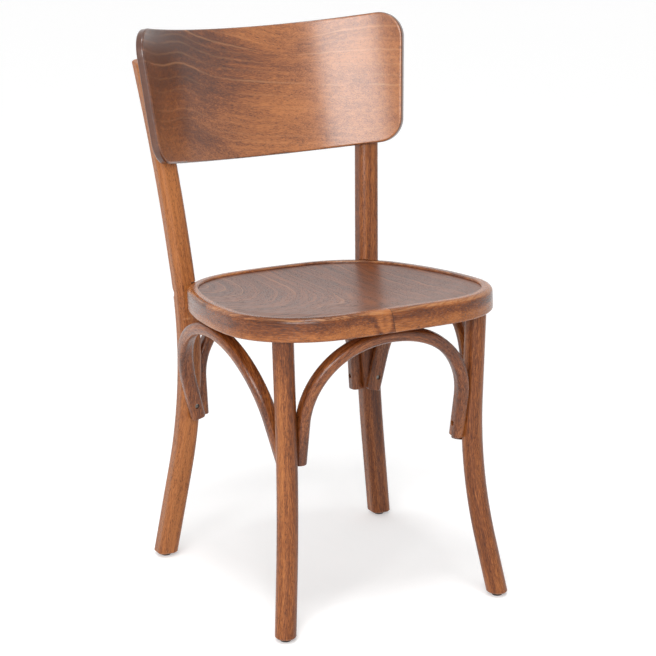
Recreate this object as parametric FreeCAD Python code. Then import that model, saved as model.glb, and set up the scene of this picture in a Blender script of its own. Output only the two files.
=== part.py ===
import FreeCAD, Part

import math
import os

# Bentwood bistro chair, in millimetres, floor at z = 0.
# The front of the chair faces -Y, X runs from its left to its right, and it is symmetrical about x = 0.
# Left means the -X side.

# Seat ring: outline in the plane of the seat, made of tangent arcs
seat_width = 412.0
widest_y = -84.5
front_y = -227.5
back_y = 182.0
front_radius = 3000.0
front_corner_radius = 127.5
side_radius = 554.0
back_corner_radius = 136.0
back_radius = 763.0
seat_height = 462.0
seat_rake = 4.3

# Seat ring: section
ring_height = 33.6
ring_width = 38.0
rim_width = 16.5
rebate_depth = 8.5
ring_top_round = 8.0
ring_lip_round = 3.0
ring_bottom_round = 3.5

# Seat panel
panel_thickness = 5.0
panel_gap = 0.2
dish_depth = 9.0
dish_margin = 4.0
dish_centre_y = -22.0

# Front legs: round, with a tenon into the ring
front_leg_diameter = 30.5
front_leg_inset = 22.8
front_leg_angle = -42.7
front_knee_height = 190.0
front_knee_in = 6.7
front_knee_forward = 1.2
front_foot_out = 20.3
front_foot_forward = 42.7
front_bend_reach = 107.0
tenon_diameter = 20.0
tenon_length = 20.0
tenon_gap = 0.1
mortise_relief = 1.0

# Rear legs: rounded square, continuing as backrest posts
rear_leg_size = 32.0
rear_leg_round = 10.5
rear_leg_distance = 12.6
rear_leg_angle = 44.9
rear_knee_height = 263.0
rear_knee_in = 5.3
rear_knee_forward = 12.4
rear_foot_out = 34.5
rear_foot_back = 16.1
rear_bend_reach = 122.0
seat_bend_reach = 36.0
post_knee_rise = 177.0
post_knee_out = 13.2
post_knee_back = 26.3
post_slope_out = 0.1146
post_slope_back = 0.2146
post_bend_reach = 110.0
post_top_round = 2.5
post_behind_backrest = 159.3
housing_gap = 0.1

# Feet
glide_height = 5.0
glide_diameter = 15.0
glide_sole = 1.5
glide_round = 0.8
foot_chamfer = 2.0
nail_diameter = 3.0
nail_head_diameter = 8.0
nail_head_height = 1.4
nail_length = 18.0
nail_gap = 0.05

# Backrest panel: part of a leaning cylinder, hollow towards the sitter
backrest_bow_radius = 276.0
backrest_thickness = 12.0
backrest_height = 197.6
backrest_arc_length = 473.0
backrest_taper = 0.133
backrest_lean = 14.7
backrest_bottom = 598.7
backrest_corner_radius = 38.0
backrest_edge_round = 3.0
post_flat_depth = 1.2

# Arches under the seat: rounded rectangle bent in a plane that leans outwards.
# A share is a bend's radius as a part of the distance between the arch's two ends.
arch_width = 22.0
arch_thickness = 18.0
arch_section_round = 7.0
arch_end_round = 2.5
arch_flat = 0.7
arch_gap = 0.1
saddle_depth = 0.5
arch_end_height = 228.0
front_arch_end_rise = 12.0
front_arch_lean = 10.1
front_arch_turn = 17.0
front_arch_shoulder_share = 0.4397
front_arch_crown_share = 0.6226
side_arch_lean = 13.6
side_arch_front_turn = 65.0
side_arch_rear_turn = 73.5
side_arch_front_shoulder_share = 0.4633
side_arch_rear_shoulder_share = 0.4522
side_arch_crown_share = 0.5699
side_arch_front_slant = 8.5
rear_arch_end_drop = 3.0
rear_arch_lean = 6.3
rear_arch_turn = 0.0
rear_arch_shoulder_share = 0.3742
rear_arch_crown_share = 0.5988

# Wood screws: slotted flat head in a counterbore, plain shank with a point
screw_diameter = 3.8
screw_head_diameter = 7.0
screw_head_height = 2.4
screw_slot_width = 1.1
screw_slot_depth = 1.2
screw_point = 3.5
screw_bite = 13.0
screw_gap = 0.05
counterbore_gap = 0.4
counterbore_depth = 5.5
arch_screw_rise = 21.0
backrest_screw_bite = 8.0
backrest_screw_inset = 48.0
backrest_screw_pitch = 70.0

# Bolts that hold the ring to the rear legs
bolt_diameter = 6.0
bolt_head_diameter = 14.0
bolt_head_height = 3.5
bolt_socket_diameter = 5.0
bolt_socket_depth = 2.2
bolt_end = 5.0
washer_diameter = 16.0
washer_thickness = 1.5
bolt_recess_depth = 8.0
recess_gap = 0.5
bolt_gap = 0.2
barrel_diameter = 10.0
barrel_length = 16.0
barrel_inset = 20.0
barrel_gap = 0.1

# Working values: a reach beyond the whole chair, spare length on pieces that are cut to shape,
# how far a cutting shape stands past what it cuts, and how near counts as touching
far = 2000.0
spare_length = 40.0
overcut = 1.0
touching = 0.01

vector = FreeCAD.Vector


def unit(v):
    return vector(v).normalize()


def polar(centre, distance, degrees):
    angle = math.radians(degrees)
    return vector(centre.x + distance * math.cos(angle), centre.y + distance * math.sin(angle), centre.z)


def mirror_x(shape):
    return shape.mirror(vector(0, 0, 0), vector(1, 0, 0))


def rod(start, direction, diameter, length):
    return Part.makeCylinder(diameter / 2, length, start, direction)


# Seat frame: x and y in the plane of the ring's underside, z up through the ring

rake = math.radians(seat_rake)
seat_drop = -front_y * math.sin(rake) + ring_height * math.cos(rake)
seat_place = FreeCAD.Placement(
    vector(0, 0, seat_height - seat_drop),
    FreeCAD.Rotation(vector(1, 0, 0), -seat_rake),
)
seat_up = seat_place.Rotation.multVec(vector(0, 0, 1))


def seat_point(x, y, z):
    return seat_place.multVec(vector(x, y, z))


def on_seat(shape):
    shape.Placement = seat_place.multiply(shape.Placement)
    return shape


def inner_corner(centre_a, radius_a, centre_b, radius_b, radius, towards):
    """Centre of a round of the given radius that touches two larger circles from inside."""
    reach_a = radius_a - radius
    reach_b = radius_b - radius
    gap = centre_b - centre_a
    along = (reach_a ** 2 - reach_b ** 2 + gap.Length ** 2) / (2 * gap.Length)
    aside = math.sqrt(reach_a ** 2 - along ** 2)
    line = unit(gap)
    side = vector(-line.y, line.x, 0)
    options = [centre_a + line * along + side * aside, centre_a + line * along - side * aside]
    return max(options, key=lambda point: point.dot(towards))


front_centre = vector(0, front_y + front_radius, 0)
side_centre = vector(seat_width / 2 - side_radius, widest_y, 0)
back_centre = vector(0, back_y - back_radius, 0)
front_corner = inner_corner(
    front_centre, front_radius, side_centre, side_radius, front_corner_radius, vector(1, -1, 0)
)
back_corner = inner_corner(
    back_centre, back_radius, side_centre, side_radius, back_corner_radius, vector(1, 1, 0)
)


def arc_between(centre, radius, start, end):
    """Arc round a centre, from one point to another, the shorter way."""
    middle = centre + unit((start - centre) + (end - centre)) * radius
    return Part.Arc(start, middle, end).toShape()


def outline(inset, z):
    """Closed outline of the seat, drawn in by an inset, at height z of the seat frame."""
    lift = vector(0, 0, z)
    front_end = front_corner + unit(front_corner - front_centre) * (front_corner_radius - inset) + lift
    side_start = front_corner + unit(front_corner - side_centre) * (front_corner_radius - inset) + lift
    side_end = back_corner + unit(back_corner - side_centre) * (back_corner_radius - inset) + lift
    back_start = back_corner + unit(back_corner - back_centre) * (back_corner_radius - inset) + lift
    front_left = vector(-front_end.x, front_end.y, z)
    back_left = vector(-back_start.x, back_start.y, z)
    right = [
        arc_between(front_corner + lift, front_corner_radius - inset, front_end, side_start),
        arc_between(side_centre + lift, side_radius - inset, side_start, side_end),
        arc_between(back_corner + lift, back_corner_radius - inset, side_end, back_start),
    ]
    left = [mirror_x(edge) for edge in right]
    front = arc_between(front_centre + lift, front_radius - inset, front_left, front_end)
    back = arc_between(back_centre + lift, back_radius - inset, back_start, back_left)
    edges = Part.sortEdges([front, back] + right + left)[0]
    return Part.Wire(edges)


def outline_prism(inset, z, height):
    return Part.Face(outline(inset, z)).extrude(vector(0, 0, height))


def edges_at(shape, height, near_inset):
    """Edges of the ring that lie at one height, along the outline drawn in by an inset."""
    track = outline(near_inset, height)
    chosen = []
    for edge in shape.Edges:
        box = edge.BoundBox
        if abs(box.ZMin - height) > touching or abs(box.ZMax - height) > touching:
            continue
        middle = edge.valueAt((edge.FirstParameter + edge.LastParameter) / 2)
        if track.distToShape(Part.Vertex(middle))[0] < touching:
            chosen.append(edge)
    return chosen


# Seat ring

rebate_floor = ring_height - rebate_depth
ring = outline_prism(0, 0, ring_height)
ring = ring.cut(outline_prism(ring_width, -overcut, ring_height + 2 * overcut))
ring = ring.cut(outline_prism(rim_width, rebate_floor, ring_height))
ring = ring.makeFillet(ring_top_round, edges_at(ring, ring_height, 0))
ring = ring.makeFillet(ring_lip_round, edges_at(ring, ring_height, rim_width))
ring = ring.makeFillet(ring_bottom_round, edges_at(ring, 0, 0))

# Seat panel: a rim that lies in the rebate, and a dish that hangs inside the ring

rim_top = rebate_floor + panel_thickness
opening_half = seat_width / 2 - ring_width
dish_half = seat_width / 2 - rim_width - dish_margin


def dish(half_width, top):
    """Ball whose cap has the dish's depth below the height 'top'."""
    radius = (half_width ** 2 + dish_depth ** 2) / (2 * dish_depth)
    return Part.makeSphere(radius, vector(0, dish_centre_y, top + radius - dish_depth))


panel_rim = outline_prism(rim_width + panel_gap, rebate_floor, panel_thickness)
panel_belly = outline_prism(ring_width + panel_gap, rebate_floor - dish_depth, dish_depth)
panel_belly = panel_belly.common(dish(opening_half, rebate_floor))
panel = panel_rim.fuse(panel_belly).removeSplitter()
panel = panel.cut(dish(dish_half, rim_top))

# Leg paths: straight runs joined by tangent arcs


def bent_path(points, reaches):
    """Wire through the first and last point, with a round of the given reach at each point between."""
    edges = []
    start = points[0]
    for before, corner, after, reach in zip(points, points[1:], points[2:], reaches):
        into = unit(before - corner)
        out = unit(after - corner)
        arc_start = corner + into * reach
        arc_end = corner + out * reach
        half_turn = into.getAngle(out) / 2
        radius = reach * math.tan(half_turn)
        centre = corner + unit(into + out) * (reach / math.cos(half_turn))
        middle = centre + unit(corner - centre) * radius
        edges.append(Part.LineSegment(start, arc_start).toShape())
        edges.append(Part.Arc(arc_start, middle, arc_end).toShape())
        start = arc_end
    edges.append(Part.LineSegment(start, points[-1]).toShape())
    return Part.Wire(edges)


def point_at_height(wire, height):
    """Point where a leg's axis crosses a height."""
    floor = Part.makePlane(far, far, vector(-far / 2, -far / 2, height))
    return wire.section(floor).Vertexes[0].Point


def section_wire(centre, across, up, width, thickness, radius):
    """Rounded rectangle round a centre, 'width' along 'across' and 'thickness' along 'up'."""
    a = unit(across)
    b = unit(up)
    edges = []
    corners = []
    for sx, sy in ((1, 1), (-1, 1), (-1, -1), (1, -1)):
        middle = centre + a * (sx * (width / 2 - radius)) + b * (sy * (thickness / 2 - radius))
        first = middle + (a * sx * radius if sx * sy > 0 else b * sy * radius)
        second = middle + (b * sy * radius if sx * sy > 0 else a * sx * radius)
        bulge = middle + unit(a * sx + b * sy) * radius
        corners.append((first, bulge, second))
    for index, (first, bulge, second) in enumerate(corners):
        edges.append(Part.Arc(first, bulge, second).toShape())
        edges.append(Part.LineSegment(second, corners[(index + 1) % 4][0]).toShape())
    return Part.Wire(edges)


def sweep(path, section, steady):
    """Solid swept along a path, with the section held to a steady direction."""
    pipe = Part.BRepOffsetAPI.MakePipeShell(path)
    pipe.setBiNormalMode(steady)
    pipe.add(section)
    pipe.build()
    pipe.makeSolid()
    return pipe.shape()


def beyond(point, inward):
    """Point further out along a path's last run, for an end that is cut to shape later."""
    return point + unit(point - inward) * spare_length


# Front leg: its axis meets the ring's underside on the front corner's arc

front_top_flat = polar(front_corner, front_corner_radius - front_leg_inset, front_leg_angle)
front_top = seat_point(front_top_flat.x, front_top_flat.y, 0)
front_knee = vector(front_top.x - front_knee_in, front_top.y - front_knee_forward, front_knee_height)
front_foot = vector(front_top.x + front_foot_out, front_top.y - front_foot_forward, 0)
front_axis = bent_path(
    [beyond(front_foot, front_knee), front_knee, beyond(front_top, front_knee)], [front_bend_reach]
)
below_seat = on_seat(Part.makeBox(far, far, far, vector(-far / 2, -far / 2, -far)))
below_floor = Part.makeBox(far, far, far, vector(-far / 2, -far / 2, glide_height - far))


def foot_rounded(leg):
    """Leg with the edge of its foot chamfered."""
    edges = [edge for edge in leg.Edges if edge.BoundBox.ZMax < glide_height + touching]
    return leg.makeChamfer(foot_chamfer, edges)


def front_leg_blank(growth):
    """Front leg before its ends are cut, thicker by a growth all round."""
    radius = front_leg_diameter / 2 + growth
    section = Part.Wire(Part.makeCircle(radius, front_axis.Vertexes[0].Point, unit(front_knee - front_foot)))
    return sweep(front_axis, section, vector(1, 0, 0))


front_leg = front_leg_blank(0).common(below_seat).cut(below_floor)
front_leg = foot_rounded(front_leg)
tenon_start = front_top - seat_up * overcut
tenon = rod(tenon_start, seat_up, tenon_diameter, overcut + tenon_length)
front_leg = front_leg.fuse(tenon).removeSplitter()
mortise_length = overcut + tenon_length + mortise_relief
mortise = rod(tenon_start, seat_up, tenon_diameter + 2 * tenon_gap, mortise_length)

# Rear leg and post: its axis passes just outside the back corner of the ring

bolt_level = ring_height / 2
rear_flat = polar(back_corner, back_corner_radius + rear_leg_distance, rear_leg_angle)
rear_seat = seat_point(rear_flat.x, rear_flat.y, bolt_level)
rear_knee = vector(rear_seat.x - rear_knee_in, rear_seat.y - rear_knee_forward, rear_knee_height)
rear_foot = vector(rear_seat.x + rear_foot_out, rear_seat.y + rear_foot_back, 0)
post_knee = rear_seat + vector(post_knee_out, post_knee_back, post_knee_rise)
post_top_height = backrest_bottom + post_behind_backrest
post_top = post_knee + vector(post_slope_out, post_slope_back, 1) * (post_top_height - post_knee.z)
rear_axis = bent_path(
    [beyond(rear_foot, rear_knee), rear_knee, rear_seat, post_knee, post_top],
    [rear_bend_reach, seat_bend_reach, post_bend_reach],
)


def rear_leg_blank(growth):
    """Rear leg and post before its ends are cut, thicker by a growth all round."""
    size = rear_leg_size + 2 * growth
    start = rear_axis.Vertexes[0].Point
    heading = unit(rear_knee - rear_foot)
    across = unit(vector(0, 1, 0).cross(heading))
    section = section_wire(start, across, heading.cross(across), size, size, rear_leg_round + growth)
    return sweep(rear_axis, section, vector(0, 1, 0))


rear_leg = rear_leg_blank(0)
top_edges = [edge for edge in rear_leg.Edges if edge.BoundBox.ZMin > post_top.z - rear_leg_size / 2]
rear_leg = rear_leg.makeFillet(post_top_round, top_edges)
rear_leg = rear_leg.cut(below_floor)
rear_leg = foot_rounded(rear_leg)
housing = on_seat(outline_prism(-housing_gap, -housing_gap, ring_height + 2 * housing_gap))
rear_leg = rear_leg.cut(housing)

# Bolt, washer and barrel nut at the rear corner of the ring, laid out along the seat's plane

bolt_flat_direction = unit(vector(back_corner.x - rear_flat.x, back_corner.y - rear_flat.y, 0))
bolt_direction = seat_place.Rotation.multVec(bolt_flat_direction)
recess_floor = rear_seat - bolt_direction * (rear_leg_size / 2 - bolt_recess_depth)
nut_flat = polar(back_corner, back_corner_radius - barrel_inset, rear_leg_angle)
nut_centre = seat_point(nut_flat.x, nut_flat.y, bolt_level)
washer = rod(recess_floor, bolt_direction * -1, washer_diameter, washer_thickness)
washer = washer.cut(rod(recess_floor, bolt_direction * -1, bolt_diameter + 2 * bolt_gap, washer_thickness))
head_seat = recess_floor - bolt_direction * washer_thickness
bolt_length = (nut_centre - head_seat).Length + bolt_end + bolt_diameter / 2
bolt = rod(head_seat, bolt_direction, bolt_diameter, bolt_length)
head = rod(head_seat, bolt_direction * -1, bolt_head_diameter, bolt_head_height)
head_top = head_seat - bolt_direction * bolt_head_height
socket_rim = Part.makePolygon([
    head_top
    + (seat_up * math.cos(math.pi / 3 * k) + bolt_direction.cross(seat_up) * math.sin(math.pi / 3 * k))
    * (bolt_socket_diameter / math.sqrt(3))
    for k in range(7)
])
socket = Part.Face(socket_rim).extrude(bolt_direction * bolt_socket_depth)
bolt = bolt.fuse(head).cut(socket).removeSplitter()
barrel_foot = nut_centre - seat_up * (barrel_length / 2)
bolt_way = rod(recess_floor, bolt_direction, bolt_diameter + 2 * bolt_gap, bolt_length + bolt_end)
barrel_nut = rod(barrel_foot, seat_up, barrel_diameter, barrel_length)
bolt_hole = rod(head_seat, bolt_direction, bolt_diameter + 2 * screw_gap, bolt_length + bolt_end)
barrel_nut = barrel_nut.cut(bolt_hole)
barrel_way_start = seat_point(nut_flat.x, nut_flat.y, -overcut)
barrel_way_length = overcut + bolt_level + barrel_length / 2
barrel_way = rod(barrel_way_start, seat_up, barrel_diameter + 2 * barrel_gap, barrel_way_length)
recess = rod(recess_floor, bolt_direction * -1, washer_diameter + 2 * recess_gap, rear_leg_size)
rear_leg = rear_leg.cut(recess).cut(bolt_way)

# Glides and their nails


def glide_pieces(foot):
    """Glide, its nail, and the hole that the nail needs in the leg above."""
    low = vector(foot.x, foot.y, 0)
    up = vector(0, 0, 1)
    glide = rod(low, up, glide_diameter, glide_height)
    rims = [edge for edge in glide.Edges if edge.BoundBox.ZMax < touching]
    glide = glide.makeFillet(glide_round, rims)
    head_foot = low + up * glide_sole
    head_room = nail_head_height + nail_gap
    glide = glide.cut(rod(head_foot, up, nail_head_diameter + 2 * nail_gap, head_room))
    glide = glide.cut(rod(head_foot, up, nail_diameter + 2 * nail_gap, glide_height))
    nail = rod(head_foot, up, nail_head_diameter, nail_head_height)
    shaft_length = nail_length - nail_diameter
    nail = nail.fuse(rod(head_foot, up, nail_diameter, shaft_length))
    shaft_top = head_foot + up * shaft_length
    point = Part.makeCone(nail_diameter / 2, nail_diameter / 10, nail_diameter, shaft_top, up)
    nail = nail.fuse(point).removeSplitter()
    hole = rod(low, up, nail_diameter + 2 * nail_gap, glide_sole + nail_length + nail_gap)
    return glide, nail, hole


front_glide, front_nail, nail_hole = glide_pieces(point_at_height(front_axis, glide_height))
front_leg = front_leg.cut(nail_hole)
rear_glide, rear_nail, nail_hole = glide_pieces(point_at_height(rear_axis, glide_height))
rear_leg = rear_leg.cut(nail_hole)

# Wood screws

slot_guide = vector(0.3, 0.2, 1)


def wood_screw(head_seat, direction, grip, bite):
    """Screw with the underside of its head at 'head_seat', the hole it needs, and its counterbore."""
    back = direction * -1
    length = grip + bite
    screw = rod(head_seat, direction, screw_diameter, length - screw_point)
    tip_start = head_seat + direction * (length - screw_point)
    tip = Part.makeCone(screw_diameter / 2, screw_diameter / 10, screw_point, tip_start, direction)
    head = rod(head_seat, back, screw_head_diameter, screw_head_height)
    side = unit(direction.cross(slot_guide))
    top = head_seat + back * screw_head_height
    corner = top - side * screw_head_diameter - direction.cross(side) * (screw_slot_width / 2)
    slot_edge = Part.makePolygon([
        corner,
        corner + side * (2 * screw_head_diameter),
        corner + side * (2 * screw_head_diameter) + direction.cross(side) * screw_slot_width,
        corner + direction.cross(side) * screw_slot_width,
        corner,
    ])
    slot = Part.Face(slot_edge).extrude(direction * screw_slot_depth)
    screw = screw.fuse([tip, head]).cut(slot).removeSplitter()
    hole = rod(head_seat, direction, screw_diameter + 2 * screw_gap, length + screw_gap)
    bore = rod(head_seat, back, screw_head_diameter + 2 * counterbore_gap, arch_width)
    return screw, hole, bore


# Backrest panel, worked out in a leaning frame: x across, depth backwards and down, rise along the lean

lean = math.radians(backrest_lean)
rise = vector(0, math.sin(lean), math.cos(lean))
depth = vector(0, math.cos(lean), -math.sin(lean))
backrest_middle_height = backrest_bottom + backrest_height / 2 * math.cos(lean)
post_middle = point_at_height(rear_axis, backrest_middle_height)
post_reach = rear_leg_size / 2 - post_flat_depth
outer_radius = backrest_bow_radius + backrest_thickness
axis_depth = post_middle.dot(depth) - math.sqrt((outer_radius + post_reach) ** 2 - post_middle.x ** 2)
front_face_depth = axis_depth + backrest_bow_radius
bottom_rise = (backrest_bottom + front_face_depth * math.sin(lean)) / math.cos(lean)
backrest_axis_foot = depth * axis_depth + rise * bottom_rise
backrest = rod(backrest_axis_foot, rise, 2 * outer_radius, backrest_height)
backrest = backrest.cut(rod(backrest_axis_foot, rise, 2 * backrest_bow_radius, backrest_height))
half_angle = backrest_arc_length / 2 / backrest_bow_radius
taper_angle = math.degrees(math.atan(backrest_taper))
middle_rise = backrest_height / 2
for side in (-1, 1):
    radial = vector(side, 0, 0) * math.sin(half_angle) + depth * math.cos(half_angle)
    outward = vector(side, 0, 0) * math.cos(half_angle) - depth * math.sin(half_angle)
    waste = Part.makeBox(far, far, far, vector(0, -far / 2, -far / 2))
    turn = FreeCAD.Rotation(outward, radial, outward.cross(radial), "XYZ")
    tilt = FreeCAD.Rotation(radial, taper_angle * side)
    waste.Placement = FreeCAD.Placement(backrest_axis_foot + rise * middle_rise, tilt.multiply(turn))
    backrest = backrest.cut(waste)
corner_edges = [edge for edge in backrest.Edges if edge.Length < 2 * backrest_thickness]
backrest = backrest.makeFillet(backrest_corner_radius, corner_edges)
face_edges = []
for face in backrest.Faces:
    surface = face.Surface
    if isinstance(surface, Part.Cylinder) and surface.Radius > 2 * backrest_corner_radius:
        face_edges.extend(face.Edges)
backrest = backrest.makeFillet(backrest_edge_round, face_edges)
flat_tool = backrest.copy()

screw_pieces = {}
screw_rises = (backrest_screw_inset, backrest_screw_inset + backrest_screw_pitch)
for name, level in zip(("lower", "upper"), screw_rises):
    aim = backrest_axis_foot + rise * level
    post_here = point_at_height(rear_axis, (aim + depth * outer_radius).z)
    offset = post_here - aim
    offset = offset - rise * offset.dot(rise)
    direction = unit(offset) * -1
    contact = aim - direction * outer_radius
    grip = (post_here - contact).dot(direction * -1) + rear_leg_size / 2 - counterbore_depth
    head_seat = contact - direction * grip
    screw, hole, bore = wood_screw(head_seat, direction, grip, backrest_screw_bite)
    screw_pieces["backrest_screw_" + name] = screw
    rear_leg = rear_leg.cut(hole).cut(bore)
    backrest = backrest.cut(hole).cut(mirror_x(hole))
rear_leg = rear_leg.cut(flat_tool)

# Arches


def arch_path(first, last, up, crown_centre, shoulders, crown_radius, slants):
    """Flat bent wire from one end to the other: limb, shoulder, crown, shoulder, limb."""
    along = unit(last - first)
    runs = []
    for end, sign, shoulder, slant in zip((first, last), (1, -1), shoulders, slants):
        inward = along * sign
        lean_angle = math.radians(slant)
        limb = up * math.cos(lean_angle) + inward * math.sin(lean_angle)
        across = inward * math.cos(lean_angle) - up * math.sin(lean_angle)
        base = end + across * shoulder - crown_centre
        ahead = base.dot(limb)
        reach = math.sqrt(ahead ** 2 - base.dot(base) + (crown_radius - shoulder) ** 2) - ahead
        shoulder_centre = crown_centre + base + limb * reach
        limb_end = shoulder_centre - across * shoulder
        crown_end = crown_centre + unit(shoulder_centre - crown_centre) * crown_radius
        runs.append((end, limb_end, shoulder_centre, crown_end, shoulder))
    (end_a, limb_a, centre_a, crown_a, round_a), (end_b, limb_b, centre_b, crown_b, round_b) = runs
    return Part.Wire([
        Part.LineSegment(end_a, limb_a).toShape(),
        arc_between(centre_a, round_a, limb_a, crown_a),
        arc_between(crown_centre, crown_radius, crown_a, crown_b),
        arc_between(centre_b, round_b, crown_b, limb_b),
        Part.LineSegment(limb_b, end_b).toShape(),
    ])


def arch_pieces(first, last, outward, lean_degrees, shape):
    """Arch between two ends, cut flat under the ring, with its crown screw."""
    shoulder_shares, crown_share, slants = shape
    span = (last - first).Length
    shoulders = [share * span for share in shoulder_shares]
    crown_radius = crown_share * span
    tilt = math.radians(lean_degrees)
    along = unit(last - first)
    square_out = unit(outward - along * outward.dot(along))
    up = vector(0, 0, 1) * math.cos(tilt) + square_out * math.sin(tilt)
    face = along.cross(up)
    touch = unit(seat_up - face * face.dot(seat_up))
    flat_half = arch_thickness / 2 - arch_section_round
    wide_half = arch_width / 2 - arch_section_round
    top_reach = flat_half * touch.dot(seat_up) + wide_half * abs(face.dot(seat_up)) + arch_section_round
    middle = (first + last) * 0.5
    underside = seat_point(0, 0, 0)
    crown_reach = crown_radius * touch.dot(seat_up) + top_reach - arch_flat
    centre_rise = ((underside - middle).dot(seat_up) - crown_reach) / up.dot(seat_up)
    crown_centre = middle + up * centre_rise
    path = arch_path(first, last, up, crown_centre, shoulders, crown_radius, slants)
    limb = unit(path.Edges[0].Vertexes[1].Point - first)
    section = section_wire(first, face, limb.cross(face), arch_width, arch_thickness, arch_section_round)
    solid = sweep(path, section, face)
    end_edges = []
    for end in (first, last):
        for solid_face in solid.Faces:
            flat_end = isinstance(solid_face.Surface, Part.Plane)
            if flat_end and solid_face.CenterOfMass.distanceToPoint(end) < touching:
                end_edges.extend(solid_face.Edges)
    solid = solid.makeFillet(arch_end_round, end_edges)
    above = on_seat(Part.makeBox(far, far, far, vector(-far / 2, -far / 2, -arch_gap)))
    solid = solid.cut(above)
    crown = crown_centre + touch * crown_radius
    head_seat = crown - seat_up * (arch_thickness / 2 - counterbore_depth)
    grip = (underside - head_seat).dot(seat_up)
    screw, hole, bore = wood_screw(head_seat, seat_up, grip, screw_bite)
    return solid.cut(hole).cut(bore), screw, hole, path


def limb_place(axis, height, leg_reach, towards, turn):
    """Point beside a right leg where an arch's limb starts, turned from inwards to back (1) or front (-1)."""
    centre = point_at_height(axis, height)
    angle = math.radians(turn)
    away = vector(-math.cos(angle), math.sin(angle) * towards, 0)
    return centre + away * (leg_reach + arch_thickness / 2 - saddle_depth)


def limb_screw(path, axis, height, last_end):
    """Screw through an arch's limb, aimed level at the leg's axis."""
    edge = path.Edges[-1] if last_end else path.Edges[0]
    level = Part.makePlane(far, far, vector(-far / 2, -far / 2, height))
    spot = path.section(level).Vertexes
    leg = point_at_height(axis, height)
    limb = min(spot, key=lambda v: v.Point.distanceToPoint(leg)).Point
    direction = unit(leg - limb)
    head_seat = limb - direction * (arch_thickness / 2 - counterbore_depth)
    grip = (leg - head_seat).Length - front_leg_diameter / 2
    return wood_screw(head_seat, direction, grip, screw_bite)


front_reach = front_leg_diameter / 2
rear_reach = rear_leg_size / 2
front_arch_end_height = arch_end_height + front_arch_end_rise
rear_arch_end_height = arch_end_height - rear_arch_end_drop

# Side arch, on the right side
side_first = limb_place(front_axis, arch_end_height, front_reach, 1, side_arch_front_turn)
side_last = limb_place(rear_axis, arch_end_height, rear_reach, -1, side_arch_rear_turn)
side_shoulders = (side_arch_front_shoulder_share, side_arch_rear_shoulder_share)
side_shape = (side_shoulders, side_arch_crown_share, (side_arch_front_slant, 0))
side_arch, side_crown_screw, side_crown_hole, side_path = arch_pieces(
    side_first, side_last, vector(1, 0, 0), side_arch_lean, side_shape
)
ring = on_seat(ring)
panel = on_seat(panel)

# Front and rear arches, each from left to right
front_right = limb_place(front_axis, front_arch_end_height, front_reach, 1, front_arch_turn)
front_left = vector(-front_right.x, front_right.y, front_right.z)
front_shape = ((front_arch_shoulder_share, front_arch_shoulder_share), front_arch_crown_share, (0, 0))
front_arch, front_crown_screw, front_crown_hole, front_path = arch_pieces(
    front_left, front_right, vector(0, -1, 0), front_arch_lean, front_shape
)
rear_right = limb_place(rear_axis, rear_arch_end_height, rear_reach, -1, rear_arch_turn)
rear_left = vector(-rear_right.x, rear_right.y, rear_right.z)
rear_shape = ((rear_arch_shoulder_share, rear_arch_shoulder_share), rear_arch_crown_share, (0, 0))
rear_arch, rear_crown_screw, rear_crown_hole, rear_path = arch_pieces(
    rear_left, rear_right, vector(0, 1, 0), rear_arch_lean, rear_shape
)

# Screws at the arches' ends, worked out on the right side and mirrored
front_screw_height = front_arch_end_height + arch_screw_rise
screw, hole, bore = limb_screw(front_path, front_axis, front_screw_height, True)
screw_pieces["front_arch_screw"] = screw
front_leg = front_leg.cut(hole)
front_arch = front_arch.cut([hole, bore, mirror_x(hole), mirror_x(bore)])

rear_screw_height = rear_arch_end_height + arch_screw_rise
screw, hole, bore = limb_screw(rear_path, rear_axis, rear_screw_height, True)
screw_pieces["rear_arch_screw"] = screw
rear_leg = rear_leg.cut(hole)
rear_arch = rear_arch.cut([hole, bore, mirror_x(hole), mirror_x(bore)])

side_screw_height = arch_end_height + arch_screw_rise
screw, hole, bore = limb_screw(side_path, front_axis, side_screw_height, False)
screw_pieces["side_arch_front_screw"] = screw
front_leg = front_leg.cut(hole)
side_arch = side_arch.cut([hole, bore])
screw, hole, bore = limb_screw(side_path, rear_axis, side_screw_height, True)
screw_pieces["side_arch_rear_screw"] = screw
rear_leg = rear_leg.cut(hole)
side_arch = side_arch.cut([hole, bore])

# Hollows in the arches where they lie against the legs, with a small gap
front_room = front_leg_blank(arch_gap)
rear_room = rear_leg_blank(arch_gap)
front_arch = front_arch.cut([front_room, mirror_x(front_room)])
rear_arch = rear_arch.cut([rear_room, mirror_x(rear_room)])
side_arch = side_arch.cut([front_room, rear_room])

# Holes in the ring: mortises, bolts, barrel nuts and crown screws
ring_holes = [front_crown_hole, rear_crown_hole]
for tool in (mortise, bolt_way, barrel_way, side_crown_hole):
    ring_holes += [tool, mirror_x(tool)]
ring = ring.cut(ring_holes)

# Every piece under its own name; those worked out on the right side are mirrored to the left
pieces = {
    "seat_ring": ring,
    "seat_panel": panel,
    "backrest": backrest,
    "front_arch": front_arch,
    "rear_arch": rear_arch,
    "front_arch_crown_screw": front_crown_screw,
    "rear_arch_crown_screw": rear_crown_screw,
}
right_pieces = {
    "front_leg": front_leg,
    "rear_leg": rear_leg,
    "side_arch": side_arch,
    "side_arch_crown_screw": side_crown_screw,
    "seat_bolt": bolt,
    "seat_bolt_washer": washer,
    "seat_bolt_nut": barrel_nut,
    "front_glide": front_glide,
    "rear_glide": rear_glide,
    "front_glide_nail": front_nail,
    "rear_glide_nail": rear_nail,
}
right_pieces.update(screw_pieces)
for name, shape in right_pieces.items():
    pieces[name + "_right"] = shape
    pieces[name + "_left"] = mirror_x(shape)

# The origin is on the floor, midway between the front of the seat and the back of the backrest
front_end = ring.optimalBoundingBox(True, False).YMin
back_end = backrest.optimalBoundingBox(True, False).YMax
to_origin = vector(0, -(front_end + back_end) / 2, 0)

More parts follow.
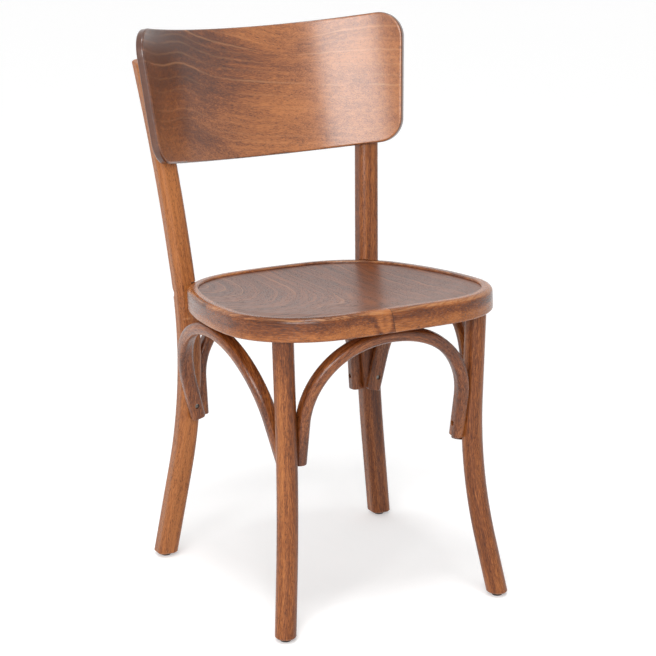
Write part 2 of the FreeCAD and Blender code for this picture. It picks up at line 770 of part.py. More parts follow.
os.makedirs("parts", exist_ok=True)
for name, shape in pieces.items():
    placed = shape.copy()
    placed.translate(to_origin)
    if len(placed.Solids) != 1 or not placed.isValid():
        raise ValueError(name + " is not one valid solid")
    placed = placed.Solids[0]
    placed.exportStep("parts/" + name + ".step")
print(len(pieces), "pieces")
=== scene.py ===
import math

import bpy
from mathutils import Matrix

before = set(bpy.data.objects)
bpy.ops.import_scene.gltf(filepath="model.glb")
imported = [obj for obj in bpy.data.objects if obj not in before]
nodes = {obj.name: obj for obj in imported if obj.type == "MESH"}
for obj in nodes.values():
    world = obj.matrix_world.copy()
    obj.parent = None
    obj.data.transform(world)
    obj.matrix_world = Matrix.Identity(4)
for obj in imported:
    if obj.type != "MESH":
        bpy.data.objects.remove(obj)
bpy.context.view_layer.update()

# Lengths are in metres. The chair's front faces -Y, X runs to its right, and the floor is z = 0.

# The middle of a value from 0 to 1
MIDDLE = 0.5

# How much further a seed moves a pattern across the grain than along it
SEED_ACROSS = 1.7

BEVEL_SAMPLES = 4


class Graph:
    """A material and short names for the nodes that make up its pattern."""

    def __init__(self, name):
        self.material = bpy.data.materials.new(name)
        self.material.use_nodes = True
        self.tree = self.material.node_tree
        self.tree.nodes.clear()
        self.shader = self.tree.nodes.new("ShaderNodeBsdfPrincipled")
        self.output = self.tree.nodes.new("ShaderNodeOutputMaterial")
        self.tree.links.new(self.shader.outputs[0], self.output.inputs["Surface"])

    def feed(self, socket, value):
        if isinstance(value, bpy.types.NodeSocket):
            self.tree.links.new(value, socket)
        else:
            socket.default_value = value

    def place(self):
        """X, Y and Z of the point on the piece, in metres."""
        coordinates = self.tree.nodes.new("ShaderNodeTexCoord")
        split = self.tree.nodes.new("ShaderNodeSeparateXYZ")
        self.tree.links.new(coordinates.outputs["Object"], split.inputs[0])
        return split.outputs[0], split.outputs[1], split.outputs[2]

    def normal(self):
        """X, Y and Z of the surface's direction."""
        geometry = self.tree.nodes.new("ShaderNodeNewGeometry")
        split = self.tree.nodes.new("ShaderNodeSeparateXYZ")
        self.tree.links.new(geometry.outputs["Normal"], split.inputs[0])
        return split.outputs[0], split.outputs[1], split.outputs[2]

    def math(self, operation, *values):
        node = self.tree.nodes.new("ShaderNodeMath")
        node.operation = operation
        for socket, value in zip(node.inputs, values):
            self.feed(socket, value)
        return node.outputs[0]

    def add(self, a, b):
        return self.math("ADD", a, b)

    def sub(self, a, b):
        return self.math("SUBTRACT", a, b)

    def mul(self, a, b):
        return self.math("MULTIPLY", a, b)

    def swing(self, value, amount):
        """A value from 0 to 1 turned into a change round nought."""
        return self.mul(self.sub(value, MIDDLE), amount)

    def hypot(self, a, b):
        return self.math("SQRT", self.add(self.mul(a, a), self.mul(b, b)))

    def bell(self, value, centre, width):
        """Bell of height 1 round a centre."""
        off = self.mul(self.sub(value, centre), 1 / width)
        return self.math("EXPONENT", self.mul(self.mul(off, off), -1.0))

    def step(self, value, low, high, from_value=0.0, to_value=1.0):
        """Smooth rise between two values."""
        node = self.tree.nodes.new("ShaderNodeMapRange")
        node.interpolation_type = "SMOOTHSTEP"
        self.feed(node.inputs["Value"], value)
        names = ("From Min", "From Max", "To Min", "To Max")
        for name, setting in zip(names, (low, high, from_value, to_value)):
            self.feed(node.inputs[name], setting)
        return node.outputs[0]

    def vector(self, x, y, z):
        node = self.tree.nodes.new("ShaderNodeCombineXYZ")
        for socket, value in zip(node.inputs, (x, y, z)):
            self.feed(socket, value)
        return node.outputs[0]

    def stretched(self, point, along, across, seed):
        """The grain point with its length and its two cross sizes scaled, moved by a seed."""
        u, v, w = point
        return self.vector(
            self.add(self.mul(u, along), seed),
            self.add(self.mul(v, across), seed * SEED_ACROSS),
            self.mul(w, across),
        )

    def noise(self, vector, detail, roughness):
        node = self.tree.nodes.new("ShaderNodeTexNoise")
        self.tree.links.new(vector, node.inputs["Vector"])
        node.inputs["Scale"].default_value = 1.0
        node.inputs["Detail"].default_value = detail
        node.inputs["Roughness"].default_value = roughness
        node.inputs["Distortion"].default_value = 0.0
        return node.outputs[0]

    def marks(self, point, kind, seed):
        """Noise of one kind: its ripples per metre along and across, detail, roughness and seed."""
        along, across, detail, roughness, shift = kind
        return self.noise(self.stretched(point, along, across, seed + shift), detail, roughness)

    def mix(self, amount, a, b):
        node = self.tree.nodes.new("ShaderNodeMix")
        node.data_type = "RGBA"
        node.blend_type = "MIX"
        self.feed(node.inputs[0], amount)
        self.feed(node.inputs[6], a if isinstance(a, bpy.types.NodeSocket) else (*a, 1.0))
        self.feed(node.inputs[7], b if isinstance(b, bpy.types.NodeSocket) else (*b, 1.0))
        return node.outputs[2]

    def edge(self, radius):
        """How far the surface turns near this point: 0 on flat areas, rising at edges."""
        bevel = self.tree.nodes.new("ShaderNodeBevel")
        bevel.samples = BEVEL_SAMPLES
        bevel.inputs["Radius"].default_value = radius
        geometry = self.tree.nodes.new("ShaderNodeNewGeometry")
        dot = self.tree.nodes.new("ShaderNodeVectorMath")
        dot.operation = "DOT_PRODUCT"
        self.tree.links.new(bevel.outputs[0], dot.inputs[0])
        self.tree.links.new(geometry.outputs["Normal"], dot.inputs[1])
        return self.sub(1.0, dot.outputs["Value"])

    def bump(self, height, distance):
        node = self.tree.nodes.new("ShaderNodeBump")
        node.inputs["Strength"].default_value = 1.0
        node.inputs["Distance"].default_value = distance
        self.tree.links.new(height, node.inputs["Height"])
        self.tree.links.new(node.outputs[0], self.shader.inputs["Normal"])


# Wood colours, stained and lacquered

DEEP = (0.070, 0.017, 0.004)
BROWN = (0.205, 0.055, 0.012)
ORANGE = (0.45, 0.157, 0.042)
PALE = (0.58, 0.27, 0.11)
PORE = (0.030, 0.009, 0.004)

# Marks in wood: ripples per metre along and across the grain, detail, roughness, shift of the seed
FIBRES = (80.0, 950.0, 2.0, 0.7, 0.0)
STREAKS = (6.0, 190.0, 3.0, 0.6, 3.1)
PATCHES = (5.0, 24.0, 1.0, 0.5, 7.7)
PORES = (260.0, 1100.0, 1.0, 0.5, 11.3)
RUBBING = (25.0, 90.0, 3.0, 0.6, 5.0)
LEG_BANDS = (2.2, 62.0, 1.0, 0.5, 1.0)
ARCH_BANDS = (3.0, 75.0, 1.0, 0.5, 1.0)

# How much each kind of mark sways the stain
STREAK_SWAY = 0.75
PATCH_SWAY = 0.6
FIBRE_SWAY = 1.4
BAND_SWAY = 0.7

# Where the stain passes from deep to brown, and from there to orange
TO_BROWN = (0.0, 0.5)
TO_ORANGE = (0.32, 0.98)

# Pores: where they open, how pale streaks close them, and how dark, rough and deep they are
PORE_OPENS = (0.55, 0.66)
PORE_STREAKS = (0.75, 0.40)
PORE_DARKNESS = 0.62
PORE_ROUGHNESS = 0.2
PORE_DEPTH = 0.7
FIBRE_ROUGHNESS = 0.2
FIBRE_HEIGHT = 0.5
GRAIN_RELIEF = 0.00022

WOOD_SPECULAR = 0.3
COAT_ROUGHNESS = 0.24

# Worn edges: the bevel they are found with, where they start, where they are rubbed, how pale
WORN_RADIUS = 0.002
WORN_FROM = (0.01, 0.10)
WORN_PATCHES = (0.42, 0.66)
WORN_STRENGTH = 0.6


def stained_wood(graph, point, seed, bands, tone, gloss=0.36, coat=0.15, contrast=1.0):
    """Stained beech: fibres, pores and bands along the grain. Dark bands are 0, pale ones 1."""
    fibres = graph.marks(point, FIBRES, seed)
    streaks = graph.marks(point, STREAKS, seed)
    patches = graph.marks(point, PATCHES, seed)
    pores = graph.marks(point, PORES, seed)
    value = graph.add(graph.swing(streaks, STREAK_SWAY), graph.swing(patches, PATCH_SWAY))
    value = graph.add(value, graph.swing(fibres, FIBRE_SWAY))
    value = graph.add(value, graph.swing(bands, BAND_SWAY))
    value = graph.add(graph.mul(value, contrast), MIDDLE + tone)
    dark = graph.mix(graph.step(value, *TO_BROWN), DEEP, BROWN)
    colour = graph.mix(graph.step(value, *TO_ORANGE), dark, ORANGE)
    pore_mask = graph.mul(graph.step(pores, *PORE_OPENS), graph.step(streaks, *PORE_STREAKS))
    colour = graph.mix(graph.mul(pore_mask, PORE_DARKNESS), colour, PORE)
    rough = graph.add(gloss, graph.swing(fibres, FIBRE_ROUGHNESS))
    rough = graph.add(rough, graph.mul(pore_mask, PORE_ROUGHNESS))
    graph.feed(graph.shader.inputs["Roughness"], rough)
    height = graph.sub(graph.mul(fibres, FIBRE_HEIGHT), graph.mul(pore_mask, PORE_DEPTH))
    graph.bump(height, GRAIN_RELIEF)
    graph.shader.inputs["Specular IOR Level"].default_value = WOOD_SPECULAR
    graph.shader.inputs["Coat Weight"].default_value = coat
    graph.shader.inputs["Coat Roughness"].default_value = COAT_ROUGHNESS
    return colour


def growth_lines(graph, field, levels, width):
    """Thin lines where a field passes each of the given levels, each with its own strength."""
    total = 0.0
    for level, strength in levels:
        total = graph.add(total, graph.mul(graph.bell(field, level, width), strength))
    return total


def worn_edges(graph, colour, point, seed):
    """Stain worn paler along the edges, in patches."""
    rub = graph.marks(point, RUBBING, seed)
    edges = graph.step(graph.edge(WORN_RADIUS), *WORN_FROM)
    amount = graph.mul(edges, graph.step(rub, *WORN_PATCHES))
    return graph.mix(graph.mul(amount, WORN_STRENGTH), colour, PALE)


def finish(graph, colour):
    graph.feed(graph.shader.inputs["Base Color"], colour)
    return graph.material


def dress(node, material):
    for slot in nodes[node].material_slots:
        slot.material = material


# Legs: the grain follows the bends, so the bends are taken out of X and Y first
# These are the middle lines of the right legs; a left leg is the mirror image of its own. A lean
# is travel in X and Y per metre of height, and a knee is the height of a bend.

FRONT_TOP = (0.1552, -0.1896, 0.424)
FRONT_LEAN = (0.0286, 0.0051)
FRONT_KNEE = 0.19
FRONT_KNEE_LENGTH = 0.1
FRONT_FOOT_LEAN = (0.1707, 0.2134)

REAR_SEAT = (0.155, 0.1296, 0.417)
REAR_LEAN = (0.0344, 0.0805)
REAR_KNEE = 0.263
REAR_KNEE_LENGTH = 0.11
REAR_FOOT_LEAN = (0.1857, 0.1889)

# What the post above the seat adds to the lean, and what it adds again above its own bend
POST_LEAN = (0.0402, 0.068)
POST_SEAT_LENGTH = 0.03
POST_BEND_HEIGHT = 0.594
POST_BEND_LENGTH = 0.1
POST_TOP_LEAN = (0.04, 0.066)


def past(graph, distance, length):
    """A distance past a bend, or nought before it, rounded over the bend's length."""
    return graph.math("SMOOTH_MAX", distance, 0.0, length)


def front_leg_point(graph, side):
    x, y, z = graph.place()
    x = graph.mul(x, side)
    top_x, top_y, top_z = FRONT_TOP
    below = graph.sub(top_z, z)
    foot = past(graph, graph.sub(FRONT_KNEE, z), FRONT_KNEE_LENGTH)
    shaft_x = graph.sub(top_x, graph.mul(below, FRONT_LEAN[0]))
    shaft_y = graph.sub(top_y, graph.mul(below, FRONT_LEAN[1]))
    centre_x = graph.add(shaft_x, graph.mul(foot, FRONT_FOOT_LEAN[0]))
    centre_y = graph.sub(shaft_y, graph.mul(foot, FRONT_FOOT_LEAN[1]))
    return z, graph.sub(x, centre_x), graph.sub(y, centre_y)


def rear_leg_point(graph, side):
    x, y, z = graph.place()
    x = graph.mul(x, side)
    below = graph.sub(REAR_SEAT[2], z)
    foot = past(graph, graph.sub(REAR_KNEE, z), REAR_KNEE_LENGTH)
    above = past(graph, graph.sub(z, REAR_SEAT[2]), POST_SEAT_LENGTH)
    high = past(graph, graph.sub(z, POST_BEND_HEIGHT), POST_BEND_LENGTH)
    off_centre = []
    for axis, place in enumerate((x, y)):
        centre = graph.sub(REAR_SEAT[axis], graph.mul(below, REAR_LEAN[axis]))
        centre = graph.add(centre, graph.mul(foot, REAR_FOOT_LEAN[axis]))
        post = graph.add(graph.mul(above, POST_LEAN[axis]), graph.mul(high, POST_TOP_LEAN[axis]))
        off_centre.append(graph.sub(place, graph.add(centre, post)))
    return z, off_centre[0], off_centre[1]


# Each leg's name, its side, the sort of its bend, its seed and how light it is: partly its own
# stain, partly painted light on the rear left leg and painted shade on the rear right leg
LEGS = (
    ("front_leg_left", -1.0, front_leg_point, 0.0, -0.04),
    ("rear_leg_left", -1.0, rear_leg_point, 4.0, 0.24),
    ("front_leg_right", 1.0, front_leg_point, 10.0, 0.0),
    ("rear_leg_right", 1.0, rear_leg_point, 14.0, -0.08),
)
for name, side, leg_point, seed, tone in LEGS:
    graph = Graph(name + "_wood")
    point = leg_point(graph, side)
    bands = graph.marks(point, LEG_BANDS, seed)
    colour = stained_wood(graph, point, seed, bands, tone)
    colour = worn_edges(graph, colour, point, seed)
    dress(name, finish(graph, colour))

# Seat ring: the grain runs round the seat, and a scarf joint shows on the front near the middle
# The seat falls towards the back, and a rise is a height with that fall taken out

RING_CENTRE_Y = -0.045
RING_TURN_RADIUS = 0.205
SEAT_FALL = 0.075
RING_SEED = 31.0

# The joint: X and rise at its middle, its slant, its line's half width and darkness, and how
# sharply the wood changes at it. It is only on the front, which starts between two values of Y.
JOINT_X = -0.0102
JOINT_RISE = 0.4097
JOINT_SLANT = 0.156
JOINT_LINE = 0.0007
JOINT_DARKNESS = 0.75
JOINT_BLEND = 0.0002
FRONT_SIDE = (-0.1, -0.101)

# Past the joint another stretch of wood shows, moved across the grain and up
OTHER_WOOD = (0.37, 0.21)

# The knot beside the joint: its distance from it, half width, rise, half height, and how far it
# turns the bands
KNOT_ASIDE = 0.014
KNOT_WIDTH = 0.013
KNOT_RISE = 0.421
KNOT_HEIGHT = 0.02
KNOT_SWIRL = 7.0

# Growth bands: radians per metre of rise, how they drift, and the part of the stain they take
RING_BANDS = 160.0
RING_DRIFT = (3.0, 22.0, 2.0, 0.5, 2.0)
RING_DRIFT_SWAY = 9.0
RING_BAND_RANGE = 0.7
RING_BAND_LOW = 0.15

# The shoulder between the top and the side, by how far it faces up, is made paler in fine streaks:
# partly wear, partly a painted highlight
SHOULDER_FROM = (0.40, 0.62)
SHOULDER_TO = (0.97, 0.86)
SHOULDER_WEAR_AND_HIGHLIGHT = (12.0, 420.0, 3.0, 0.6, 36.0)
SHOULDER_WEAR_AND_HIGHLIGHT_PATCHES = (0.42, 0.62)
SHOULDER_WEAR_AND_HIGHLIGHT_STRENGTH = 0.55

graph = Graph("seat_ring_wood")
x, y, z = graph.place()
from_centre = graph.sub(y, RING_CENTRE_Y)
turn = graph.math("ARCTAN2", from_centre, x)
distance = graph.hypot(x, from_centre)
rise = graph.add(z, graph.mul(y, SEAT_FALL))
joint_x = graph.sub(JOINT_X, graph.mul(graph.sub(rise, JOINT_RISE), JOINT_SLANT))
front_side = graph.step(y, *FRONT_SIDE)
past_joint = graph.mul(graph.step(x, joint_x, graph.add(joint_x, JOINT_BLEND)), front_side)
point = (
    graph.mul(turn, RING_TURN_RADIUS),
    graph.add(distance, graph.mul(past_joint, OTHER_WOOD[0])),
    graph.add(rise, graph.mul(past_joint, OTHER_WOOD[1])),
)
knot = graph.mul(graph.bell(x, graph.sub(joint_x, KNOT_ASIDE), KNOT_WIDTH), front_side)
knot = graph.mul(knot, graph.bell(rise, KNOT_RISE, KNOT_HEIGHT))
swirl = graph.mul(graph.mul(knot, graph.sub(1.0, past_joint)), KNOT_SWIRL)
bands = graph.add(graph.mul(rise, RING_BANDS), swirl)
bands = graph.add(bands, graph.mul(graph.marks(point, RING_DRIFT, 0.0), RING_DRIFT_SWAY))
bands = graph.add(graph.mul(graph.math("SINE", bands), MIDDLE), MIDDLE)
bands = graph.add(graph.mul(bands, RING_BAND_RANGE), RING_BAND_LOW)
colour = stained_wood(graph, point, RING_SEED, bands, tone=0.0, gloss=0.24, coat=0.2, contrast=0.9)
line = graph.mul(graph.bell(x, joint_x, JOINT_LINE), front_side)
colour = graph.mix(graph.mul(line, JOINT_DARKNESS), colour, PORE)
_, _, facing_up = graph.normal()
shoulder = graph.mul(graph.step(facing_up, *SHOULDER_FROM), graph.step(facing_up, *SHOULDER_TO))
# Painted highlight and wear: the shoulder that faces partly up is made paler in streaks
wear_and_highlight = graph.step(graph.marks(point, SHOULDER_WEAR_AND_HIGHLIGHT, 0.0), *SHOULDER_WEAR_AND_HIGHLIGHT_PATCHES)
colour = graph.mix(graph.mul(graph.mul(shoulder, wear_and_highlight), SHOULDER_WEAR_AND_HIGHLIGHT_STRENGTH), colour, PALE)
dress("seat_ring", finish(graph, colour))

# Seat panel: veneer with its grain from front to back, and growth rings in long ovals
# Y counts for less than X, which makes the ovals long from front to back. These are the ovals'
# middle, Y's share at the left and at the right, and the X between which the share changes.

OVALS_X = -0.150
OVALS_Y = 0.105
SHARE_LEFT = 0.61
SHARE_RIGHT = 0.14
SHARE_CHANGE = (-0.08, 0.08)
RING_SPACING = 0.0205

# The rings wander: ripples per metre in X and Y, a slice of the noise, its detail and its size
PANEL_WANDER_X = 14.0
PANEL_WANDER_Y = 7.0
PANEL_WANDER_SLICE = 0.4
PANEL_WANDER_DETAIL = (3.0, 0.55)
PANEL_WANDER_SIZE = 0.022

# In each ring, from 0 to 1: the growing band, and the start and end of the pale late wood
EARLY_WOOD = (0.0, 0.9)
LATE_WOOD_START = (0.88, 0.95)
LATE_WOOD_END = (1.0, 0.96)
LATE_WOOD_STRENGTH = 0.28
LATE_WOOD_FADING = (6.0, 30.0, 1.0, 0.5, 5.0)
LATE_WOOD_SHOWS = (0.38, 0.68)
PANEL_SEED = 47.0
PANEL_BAND_RANGE = 0.16
PANEL_BAND_LOW = 0.42
PANEL_SPECULAR = 0.55

graph = Graph("seat_panel_veneer")
x, y, z = graph.place()
wander_place = graph.vector(
    graph.mul(x, PANEL_WANDER_X), graph.mul(y, PANEL_WANDER_Y), PANEL_WANDER_SLICE
)
wander = graph.noise(wander_place, *PANEL_WANDER_DETAIL)
share = graph.step(x, *SHARE_CHANGE, from_value=SHARE_LEFT, to_value=SHARE_RIGHT)
oval = graph.mul(graph.sub(y, OVALS_Y), share)
field = graph.hypot(graph.sub(x, OVALS_X), oval)
field = graph.add(field, graph.swing(wander, PANEL_WANDER_SIZE))
phase = graph.math("FRACT", graph.mul(field, 1 / RING_SPACING))
late_wood = graph.mul(graph.step(phase, *LATE_WOOD_START), graph.step(phase, *LATE_WOOD_END))
bands = graph.add(graph.mul(graph.step(phase, *EARLY_WOOD), PANEL_BAND_RANGE), PANEL_BAND_LOW)
point = (y, field, z)
colour = stained_wood(
    graph, point, PANEL_SEED, bands, tone=-0.24, gloss=0.38, coat=0.15, contrast=0.7
)
graph.shader.inputs["Specular IOR Level"].default_value = PANEL_SPECULAR
shows = graph.step(graph.marks(point, LATE_WOOD_FADING, 0.0), *LATE_WOOD_SHOWS)
colour = graph.mix(graph.mul(graph.mul(late_wood, shows), LATE_WOOD_STRENGTH), colour, PALE)
dress("seat_panel", finish(graph, colour))

# Backrest panel: veneer with its grain from side to side
# The panel is bent round a leaning axis; the angle round it gives the place along the grain

BOW_RADIUS = 0.276
LEAN_COS = 0.96727
LEAN_SIN = 0.25376

# Y and Z of the axis at the panel's foot
AXIS_Y = -0.0812
AXIS_Z = 0.66874

# Heights of the growth lines above the panel's foot at its middle, with their strengths
LINES = (
    (0.022, 0.3), (0.033, 0.4), (0.048, 0.4), (0.076, 0.25), (0.095, 0.3), (0.115, 0.9),
    (0.131, 0.4), (0.147, 0.5), (0.158, 0.3), (0.169, 0.9), (0.187, 0.4), (0.205, 0.9),
)
LINE_WIDTH = 0.0014
LINE_STRENGTH = 0.42
LINE_FADING = (9.0, 20.0, 2.0, 0.5, 17.0)
LINE_SHOWS = (0.28, 0.58)

# The lines wander and climb along the panel, with a hump on the left and a valley on the right.
# A bell is its place along, its half width and how far it moves the lines.
LINE_WANDER_ALONG = 30.0
LINE_WANDER_UP = 40.0
LINE_WANDER_SLICE = 1.4
LINE_WANDER_DETAIL = (3.0, 0.5)
LINE_WANDER_SIZE = 0.006
LINE_CLIMB = 0.14
HUMP = (-0.130, 0.045)
HUMP_HEIGHT = 0.014
VALLEY = (0.075, 0.070)
VALLEY_DEPTH = 0.026
VALLEY_FROM = (0.12, 0.19)

# Clouds in the stain, and painted shade that darkens the top left
CLOUDS = (7.0, 16.0, 2.0, 0.5, 9.0)
CLOUD_RANGE = 1.1
CLOUD_DROP = 0.02
PAINTED_SHADE_TOP_LEFT = (-0.16, 0.12)
PAINTED_SHADE_RISE = (0.0, 0.17)
PAINTED_SHADE_LOW = 0.15
BACKREST_SEED = 63.0

# Painted shade on the edges between the two faces: distances from the axis
PAINTED_RIM_SHADE_FROM = (0.2762, 0.2776)
PAINTED_RIM_SHADE_TO = (0.2878, 0.2864)
PAINTED_RIM_SHADE_DARKNESS = 0.85

graph = Graph("backrest_veneer")
x, y, z = graph.place()
back = graph.sub(graph.mul(y, LEAN_COS), graph.mul(z, LEAN_SIN))
up = graph.add(graph.mul(y, LEAN_SIN), graph.mul(z, LEAN_COS))
behind_axis = graph.sub(back, AXIS_Y * LEAN_COS - AXIS_Z * LEAN_SIN)
height = graph.sub(up, AXIS_Y * LEAN_SIN + AXIS_Z * LEAN_COS)
from_axis = graph.hypot(x, behind_axis)
along = graph.mul(graph.math("ARCTAN2", x, behind_axis), BOW_RADIUS)
wander_place = graph.vector(
    graph.mul(along, LINE_WANDER_ALONG), graph.mul(height, LINE_WANDER_UP), LINE_WANDER_SLICE
)
wander = graph.noise(wander_place, *LINE_WANDER_DETAIL)
field = graph.add(height, graph.swing(wander, LINE_WANDER_SIZE))
field = graph.add(field, graph.mul(along, LINE_CLIMB))
field = graph.sub(field, graph.mul(graph.bell(along, *HUMP), HUMP_HEIGHT))
valley = graph.mul(graph.bell(along, *VALLEY), graph.step(height, *VALLEY_FROM))
field = graph.add(field, graph.mul(valley, VALLEY_DEPTH))
late_wood = growth_lines(graph, field, LINES, LINE_WIDTH)
point = (along, field, behind_axis)
cloud = graph.sub(graph.mul(graph.marks(point, CLOUDS, 0.0), CLOUD_RANGE), CLOUD_DROP)
# Painted shade: the stain's bands are pulled darker at the top left, more towards the top
painted_shade_rise = graph.step(height, *PAINTED_SHADE_RISE, from_value=PAINTED_SHADE_LOW, to_value=1.0)
bands = graph.sub(cloud, graph.mul(graph.bell(along, *PAINTED_SHADE_TOP_LEFT), painted_shade_rise))
colour = stained_wood(
    graph, point, BACKREST_SEED, bands, tone=0.14, gloss=0.33, coat=1.0, contrast=0.9
)
shows = graph.step(graph.marks(point, LINE_FADING, 0.0), *LINE_SHOWS)
colour = graph.mix(graph.mul(graph.mul(late_wood, shows), LINE_STRENGTH), colour, PALE)
# Painted shade: the panel's edges are darkened towards the deep stain colour
painted_rim_shade = graph.mul(graph.step(from_axis, *PAINTED_RIM_SHADE_FROM), graph.step(from_axis, *PAINTED_RIM_SHADE_TO))
colour = graph.mix(graph.mul(painted_rim_shade, PAINTED_RIM_SHADE_DARKNESS), colour, DEEP)
dress("backrest", finish(graph, colour))

# Arches: the grain runs up one limb, over the crown and down the other
# Each kind of arch: the middle of its span, the height of its crown's centre, and its radius

CROSS_ARCH = (0.0, 0.29, 0.128)
SIDE_ARCH = (-0.0355, 0.27, 0.135)

# Each arch's name, its material's name, the axis of its span, its kind and its seed
X_AXIS, Y_AXIS = 0, 1
ARCHES = (
    ("front_arch", "front_arch_wood", X_AXIS, CROSS_ARCH, 71.0),
    ("rear_arch", "rear_arch_wood", X_AXIS, CROSS_ARCH, 78.0),
    ("side_arch_left", "side_arch_wood_left", Y_AXIS, SIDE_ARCH, 85.0),
    ("side_arch_right", "side_arch_wood_right", Y_AXIS, SIDE_ARCH, 93.0),
)


def arch_point(graph, axis, centre_span, centre_z, radius):
    place = graph.place()
    off = graph.sub(place[axis], centre_span)
    over = graph.math("MAXIMUM", graph.sub(place[2], centre_z), 0.0)
    under = graph.math("MINIMUM", graph.sub(place[2], centre_z), 0.0)
    along = graph.mul(graph.math("ARCTAN2", over, off), radius)
    along = graph.add(along, graph.mul(under, graph.math("SIGN", off)))
    return along, graph.hypot(off, over), place[1 - axis]


for name, material_name, axis, kind, seed in ARCHES:
    graph = Graph(material_name)
    point = arch_point(graph, axis, *kind)
    bands = graph.marks(point, ARCH_BANDS, seed)
    colour = stained_wood(graph, point, seed, bands, tone=-0.12, gloss=0.29, coat=0.35)
    colour = worn_edges(graph, colour, point, seed)
    dress(name, finish(graph, colour))

# Steel of the screws, bolts, washers, nuts and nails

STEEL = (0.30, 0.28, 0.26)
TARNISHED = (0.11, 0.09, 0.075)
SCRATCHES = (700.0, 2600.0, 3.0, 0.6, 1.0)
TARNISH = (160.0, 160.0, 3.0, 0.6, 4.0)
TARNISH_FROM = (0.4, 0.7)
STEEL_ROUGHNESS = 0.28
SCRATCH_ROUGHNESS = 0.3
SCRATCH_DEPTH = 0.00008

graph = Graph("dull_steel")
point = graph.place()
scratches = graph.marks(point, SCRATCHES, 0.0)
colour = graph.mix(graph.step(graph.marks(point, TARNISH, 0.0), *TARNISH_FROM), STEEL, TARNISHED)
graph.shader.inputs["Metallic"].default_value = 1.0
rough = graph.add(STEEL_ROUGHNESS, graph.mul(scratches, SCRATCH_ROUGHNESS))
graph.feed(graph.shader.inputs["Roughness"], rough)
graph.bump(scratches, SCRATCH_DEPTH)
steel = finish(graph, colour)

# Plastic of the glides

PLASTIC = (0.028, 0.022, 0.020)
SCUFFED = (0.075, 0.062, 0.054)
PLASTIC_GRAIN = (900.0, 900.0, 3.0, 0.6, 1.0)
SCUFFS = (300.0, 90.0, 3.0, 0.6, 6.0)
SCUFFS_FROM = (0.55, 0.75)
PLASTIC_ROUGHNESS = 0.45
PLASTIC_GRAIN_ROUGHNESS = 0.25
PLASTIC_GRAIN_DEPTH = 0.00015

graph = Graph("glide_plastic")
point = graph.place()
grain = graph.marks(point, PLASTIC_GRAIN, 0.0)
colour = graph.mix(graph.step(graph.marks(point, SCUFFS, 0.0), *SCUFFS_FROM), PLASTIC, SCUFFED)
rough = graph.add(PLASTIC_ROUGHNESS, graph.mul(grain, PLASTIC_GRAIN_ROUGHNESS))
graph.feed(graph.shader.inputs["Roughness"], rough)
graph.bump(grain, PLASTIC_GRAIN_DEPTH)
plastic = finish(graph, colour)

for name in nodes:
    if "screw" in name or "bolt" in name or "nail" in name:
        dress(name, steel)
    elif "glide" in name:
        dress(name, plastic)

# Floor: pale, and white to the camera where no shadow falls
# The lift brightens it only as the camera, a gloss or glass sees it

FLOOR_DARK = (0.78, 0.78, 0.78)
FLOOR_LIGHT = (0.82, 0.82, 0.82)
FLOOR_SPECKLE = (40.0, 40.0, 2.0, 0.5, 0.0)
FLOOR_ROUGHNESS = 0.9
FLOOR_LIFT = 0.34
FLOOR_HALF = 30.0


def seen_rays(tree):
    """1 on rays that show the background as such: to the camera, in a gloss or through glass."""
    light_path = tree.nodes.new("ShaderNodeLightPath")
    total = light_path.outputs["Is Camera Ray"]
    for other in ("Is Glossy Ray", "Is Transmission Ray"):
        most = tree.nodes.new("ShaderNodeMath")
        most.operation = "MAXIMUM"
        tree.links.new(total, most.inputs[0])
        tree.links.new(light_path.outputs[other], most.inputs[1])
        total = most.outputs[0]
    return total


graph = Graph("floor_paint")
speckle = graph.marks(graph.place(), FLOOR_SPECKLE, 0.0)
graph.shader.inputs["Roughness"].default_value = FLOOR_ROUGHNESS
graph.shader.inputs["Specular IOR Level"].default_value = 0.0
finish(graph, graph.mix(speckle, FLOOR_DARK, FLOOR_LIGHT))
lift = graph.tree.nodes.new("ShaderNodeEmission")
graph.feed(lift.inputs["Strength"], graph.mul(seen_rays(graph.tree), FLOOR_LIFT))
both = graph.tree.nodes.new("ShaderNodeAddShader")
graph.tree.links.new(graph.shader.outputs[0], both.inputs[0])
graph.tree.links.new(lift.outputs[0], both.inputs[1])
graph.tree.links.new(both.outputs[0], graph.output.inputs["Surface"])

corners = [
    (-FLOOR_HALF, -FLOOR_HALF, 0), (FLOOR_HALF, -FLOOR_HALF, 0),
    (FLOOR_HALF, FLOOR_HALF, 0), (-FLOOR_HALF, FLOOR_HALF, 0),
]
floor_mesh = bpy.data.meshes.new("floor")
floor_mesh.from_pydata(corners, [], [(0, 1, 2, 3)])
floor = bpy.data.objects.new("floor", floor_mesh)
floor.data.materials.append(graph.material)
bpy.context.scene.collection.objects.link(floor)

# World: white where it is seen, also in a gloss or through glass. As light on the chair it is a
# dim room in front and a pale backdrop behind, by how far a direction points to the back.

ROOM_EDGE = -0.3
BACKDROP_EDGE = 0.6
ROOM_LIGHT = 0.24
BACKDROP_LIGHT = 0.80

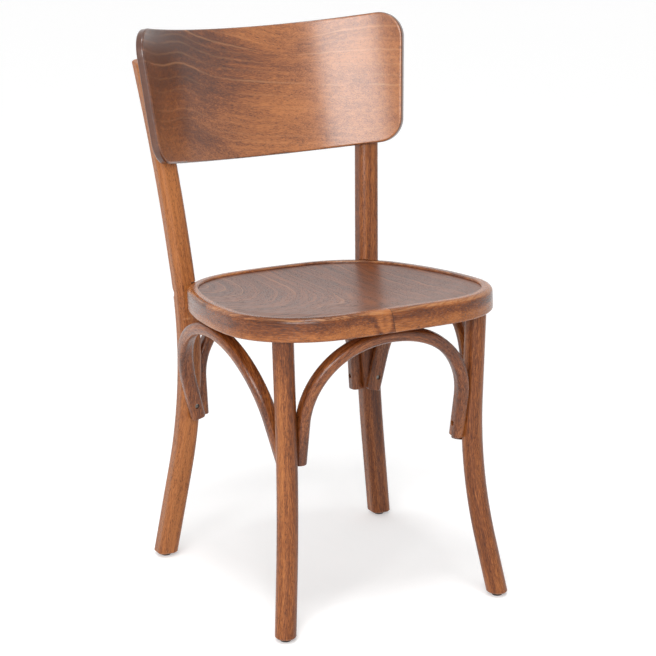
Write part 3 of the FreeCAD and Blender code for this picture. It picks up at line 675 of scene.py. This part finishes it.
world = bpy.data.worlds.new("studio")
bpy.context.scene.world = world
world.use_nodes = True
tree = world.node_tree
background = tree.nodes["Background"]
background.inputs["Color"].default_value = (1.0, 1.0, 1.0, 1.0)
direction = tree.nodes.new("ShaderNodeTexCoord")
split = tree.nodes.new("ShaderNodeSeparateXYZ")
tree.links.new(direction.outputs["Generated"], split.inputs[0])
room = tree.nodes.new("ShaderNodeMapRange")
room.interpolation_type = "SMOOTHSTEP"
room.inputs["From Min"].default_value = ROOM_EDGE
room.inputs["From Max"].default_value = BACKDROP_EDGE
room.inputs["To Min"].default_value = ROOM_LIGHT
room.inputs["To Max"].default_value = BACKDROP_LIGHT
tree.links.new(split.outputs[1], room.inputs["Value"])
strength = tree.nodes.new("ShaderNodeMix")
strength.inputs[3].default_value = 1.0
tree.links.new(seen_rays(tree), strength.inputs[0])
tree.links.new(room.outputs[0], strength.inputs[2])
tree.links.new(strength.outputs[0], background.inputs["Strength"])

# Lamps: a soft sun overhead, and a softbox at the front left


def hang(lamp, location, target):
    """Put a lamp in the scene, pointing at a target."""
    lamp_object = bpy.data.objects.new(lamp.name, lamp)
    lamp_object.location = location
    bpy.context.scene.collection.objects.link(lamp_object)
    x, y, z = (target[i] - lamp_object.location[i] for i in range(3))
    lamp_object.rotation_euler = (
        math.atan2(math.hypot(x, y), -z), 0.0, math.atan2(y, x) - math.pi / 2
    )


sun = bpy.data.lights.new("overhead", "SUN")
sun.angle = math.radians(17.0)
sun.energy = 1.05
hang(sun, location=(-0.35, -0.60, 3.0), target=(0.0, 0.0, 0.0))

key = bpy.data.lights.new("key", "AREA")
key.shape = "RECTANGLE"
key.size = 2.1
key.size_y = 1.5
key.energy = 80.0
hang(key, location=(-1.85, -2.30, 1.90), target=(0.0, 0.1, 0.68))

# Camera: the photograph's place and angle

CAMERA_PLACE = (-1.441163, -2.706036, 1.238281)
CAMERA_TILT_DOWN = 15.764
CAMERA_TURN = -28.319

camera_data = bpy.data.cameras.new("camera")
camera_data.sensor_width = 36.0
camera_data.lens = 118.22
camera = bpy.data.objects.new("camera", camera_data)
camera.location = CAMERA_PLACE
camera.rotation_euler = (math.radians(90.0 - CAMERA_TILT_DOWN), 0.0, math.radians(CAMERA_TURN))
bpy.context.scene.collection.objects.link(camera)
bpy.context.scene.camera = camera

bpy.context.scene.view_settings.view_transform = "Standard"
